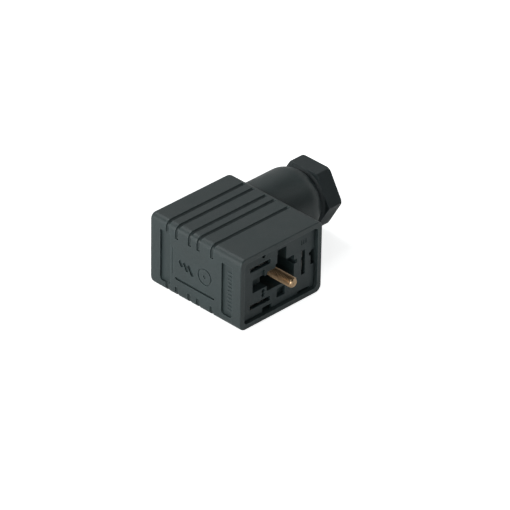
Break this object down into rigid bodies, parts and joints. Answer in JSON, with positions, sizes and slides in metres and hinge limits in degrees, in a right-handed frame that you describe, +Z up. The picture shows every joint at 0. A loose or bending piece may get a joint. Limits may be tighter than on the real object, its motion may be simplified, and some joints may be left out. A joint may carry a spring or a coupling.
{
  "type": "solenoid valve cable socket",
  "caption": "Rectangular plug-on cable socket for a solenoid valve coil, with blade slots, a central fixing screw and a side cable gland with a hexagonal pressing screw.",
  "frame": {"origin": "middle of the base of the whole object's box, on the surface that the socket rests on", "axes": "+X along the cable gland, out through its end; -Y the way the socket plugs on to the valve, along the centre screw to its tip; +Z up, from the broad side it rests on to the one opposite"},
  "size_m": [0.0514, 0.0378, 0.021],
  "materials": {
    "housing_plastic": "fine sparked",
    "insert_plastic": "moulded",
    "gland_plastic": "satin",
    "contact_metal": "tinned",
    "terminal_metal": "turned",
    "plated_steel": "zinc plated",
    "yellow_screw": "yellow plated",
    "seal_rubber": "matte"
  },
  "bodies": {
    "housing": {"housing": "housing_plastic", "gland_seal": "seal_rubber", "gland_seat_ring": "plated_steel"},
    "insert": {"contact_insert": "insert_plastic", "contact_1": "contact_metal", "contact_2": "contact_metal", "contact_earth": "contact_metal", "terminal_block_1": "terminal_metal", "terminal_block_2": "terminal_metal", "terminal_block_earth": "terminal_metal"},
    "clamp_1": {"clamp_plate_1": "plated_steel"},
    "clamp_2": {"clamp_plate_2": "plated_steel"},
    "clamp_earth": {"clamp_plate_earth": "plated_steel"},
    "terminal_screw_1": {"terminal_screw_1": "plated_steel"},
    "terminal_screw_2": {"terminal_screw_2": "plated_steel"},
    "terminal_screw_earth": {"terminal_screw_earth": "plated_steel"},
    "screw_rings": {"screw_washer": "plated_steel", "screw_seal_ring": "seal_rubber"},
    "centre_screw": {"centre_screw": "yellow_screw"},
    "push_ring": {"gland_push_ring": "plated_steel"},
    "gland_screw": {"gland_screw": "gland_plastic"}
  },
  "joints": [
    {"name": "insert_pull_out", "type": "slide", "parent": "housing", "child": "insert", "axis": [0, -1, 0], "range_m": [0, 0.022]},
    {"name": "clamp_1_travel", "type": "slide", "parent": "insert", "child": "clamp_1", "axis": [0, -1, 0], "range_m": [0, 0.002]},
    {"name": "clamp_2_travel", "type": "slide", "parent": "insert", "child": "clamp_2", "axis": [0, -1, 0], "range_m": [0, 0.002]},
    {"name": "clamp_earth_travel", "type": "slide", "parent": "insert", "child": "clamp_earth", "axis": [0, -1, 0], "range_m": [0, 0.002]},
    {"name": "terminal_screw_1_turn", "type": "hinge", "parent": "clamp_1", "child": "terminal_screw_1", "pos_m": [-0.01775, 0.0055, 0.016], "axis": [0, -1, 0], "range_deg": [0, 1440]},
    {"name": "terminal_screw_2_turn", "type": "hinge", "parent": "clamp_2", "child": "terminal_screw_2", "pos_m": [-0.01775, 0.0055, 0.005], "axis": [0, -1, 0], "range_deg": [0, 1440]},
    {"name": "terminal_screw_earth_turn", "type": "hinge", "parent": "clamp_earth", "child": "terminal_screw_earth", "pos_m": [-0.00235, 0.0055, 0.0105], "axis": [0, -1, 0], "range_deg": [0, 1440]},
    {"name": "centre_screw_draw_back", "type": "slide", "parent": "housing", "child": "screw_rings", "axis": [0, 1, 0], "range_m": [0, 0.008]},
    {"name": "centre_screw_turn", "type": "hinge", "parent": "screw_rings", "child": "centre_screw", "pos_m": [-0.0111, 0.0155, 0.0105], "axis": [0, -1, 0], "continuous": true},
    {"name": "gland_travel", "type": "slide", "parent": "housing", "child": "push_ring", "axis": [1, 0, 0], "range_m": [0, 0.006]},
    {"name": "gland_screw_turn", "type": "hinge", "parent": "push_ring", "child": "gland_screw", "pos_m": [0.0205, 0.00955, 0.0105], "axis": [1, 0, 0], "range_deg": [0, 1532]}
  ],
  "couplings": [
    {"joint": "terminal_screw_1_turn", "follows": "clamp_1_travel", "rad_per_m": 12566},
    {"joint": "terminal_screw_2_turn", "follows": "clamp_2_travel", "rad_per_m": 12566},
    {"joint": "terminal_screw_earth_turn", "follows": "clamp_earth_travel", "rad_per_m": 12566},
    {"joint": "gland_screw_turn", "follows": "gland_travel", "rad_per_m": 4456.2}
  ]
}
